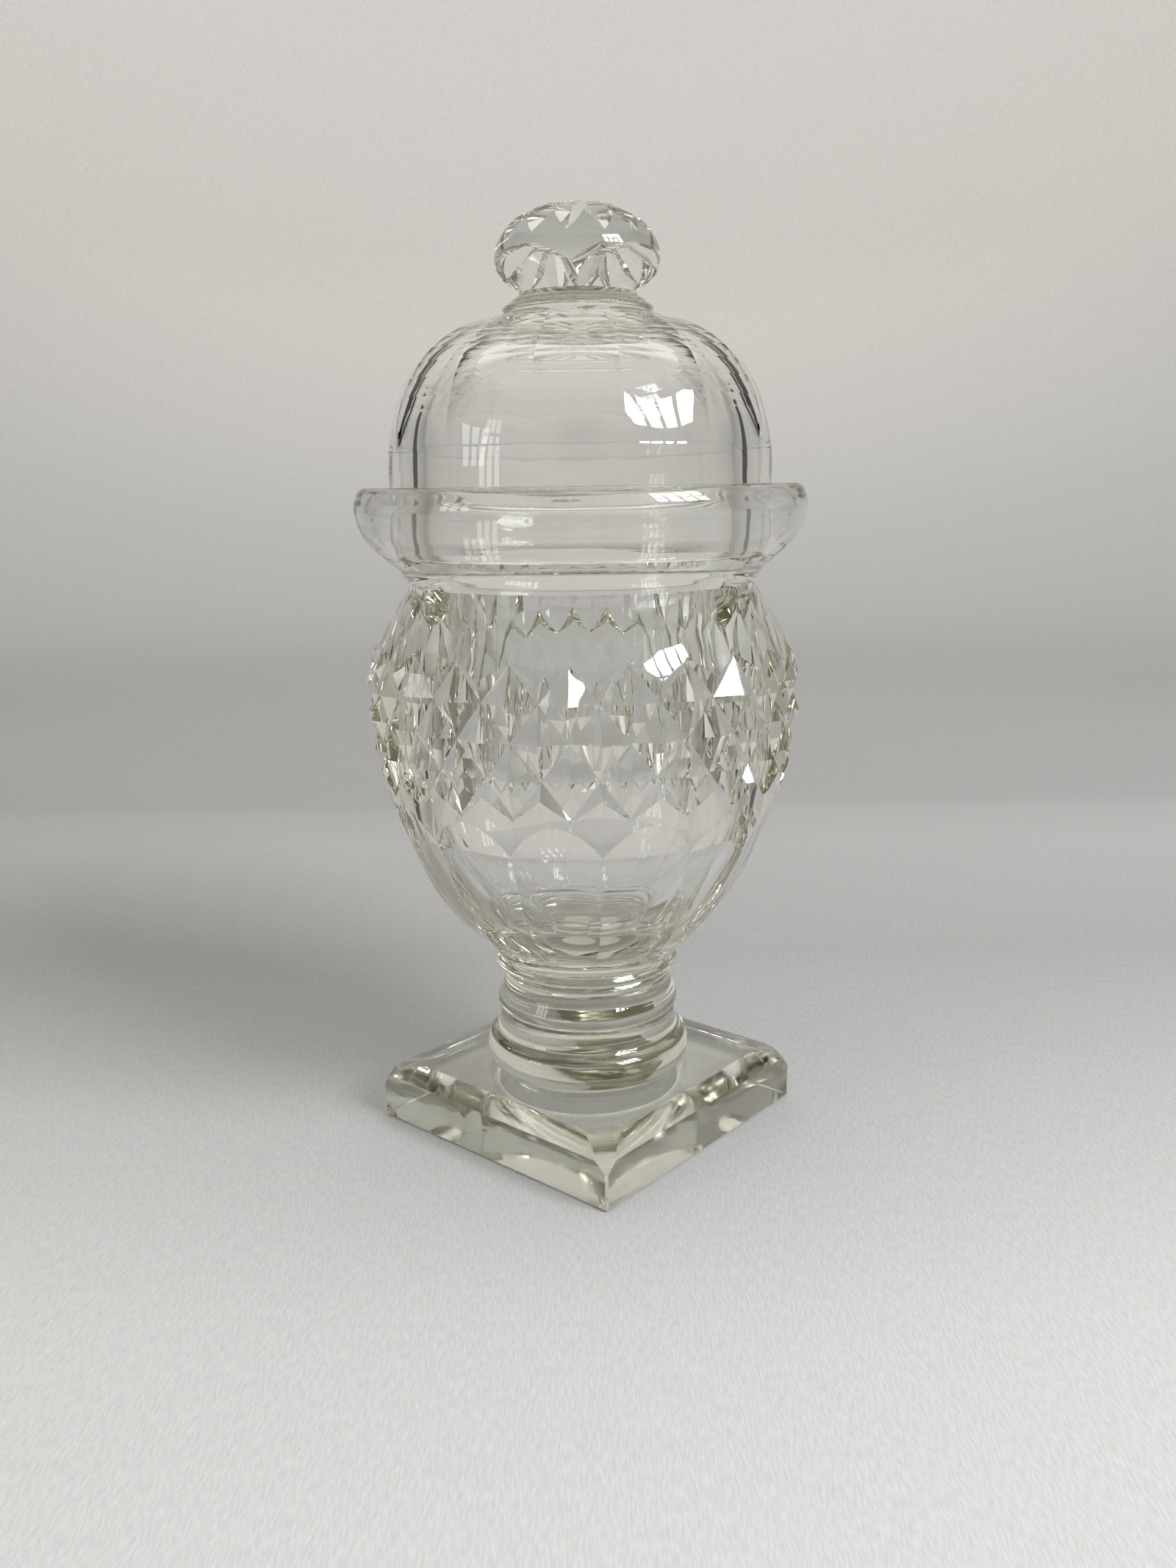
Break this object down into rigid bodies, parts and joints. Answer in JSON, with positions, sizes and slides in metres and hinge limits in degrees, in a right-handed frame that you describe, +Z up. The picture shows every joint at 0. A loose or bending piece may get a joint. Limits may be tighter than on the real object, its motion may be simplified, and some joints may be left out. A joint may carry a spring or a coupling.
{
  "type": "covered powder jar",
  "caption": "Covered jar in clear cut crystal on a square foot, with a bowl banded in diamond points, a flared gallery rim and a domed lid with a knob.",
  "frame": {"origin": "centre of the square foot's underside, on the surface that the jar stands on", "axes": "+Z up along the jar's axis, X and Y along the foot's sides"},
  "size_m": [0.0922, 0.0922, 0.1906],
  "materials": {
    "crystal_foot": "thick clear lead crystal, polished, faint warm grey tint, wear on the resting face",
    "crystal_stem": "solid clear lead crystal, fire polished rings",
    "crystal_bowl": "clear lead crystal, wheel cut diamonds and flutes, polished",
    "crystal_lid": "clear lead crystal, panel cut and polished"
  },
  "bodies": {
    "jar": {"foot": "crystal_foot", "stem_base_ring": "crystal_stem", "stem_middle_ring": "crystal_stem", "stem_top_ring": "crystal_stem", "bowl": "crystal_bowl", "neck_ring": "crystal_bowl", "gallery_rim": "crystal_bowl"},
    "lid": {"lid_dome": "crystal_lid", "lid_neck_ring": "crystal_lid", "knob": "crystal_lid"}
  },
  "joints": [
    {"name": "lid_lift", "type": "slide", "parent": "jar", "child": "lid", "axis": [0, 0, 1], "range_m": [0, 0.04]}
  ]
}
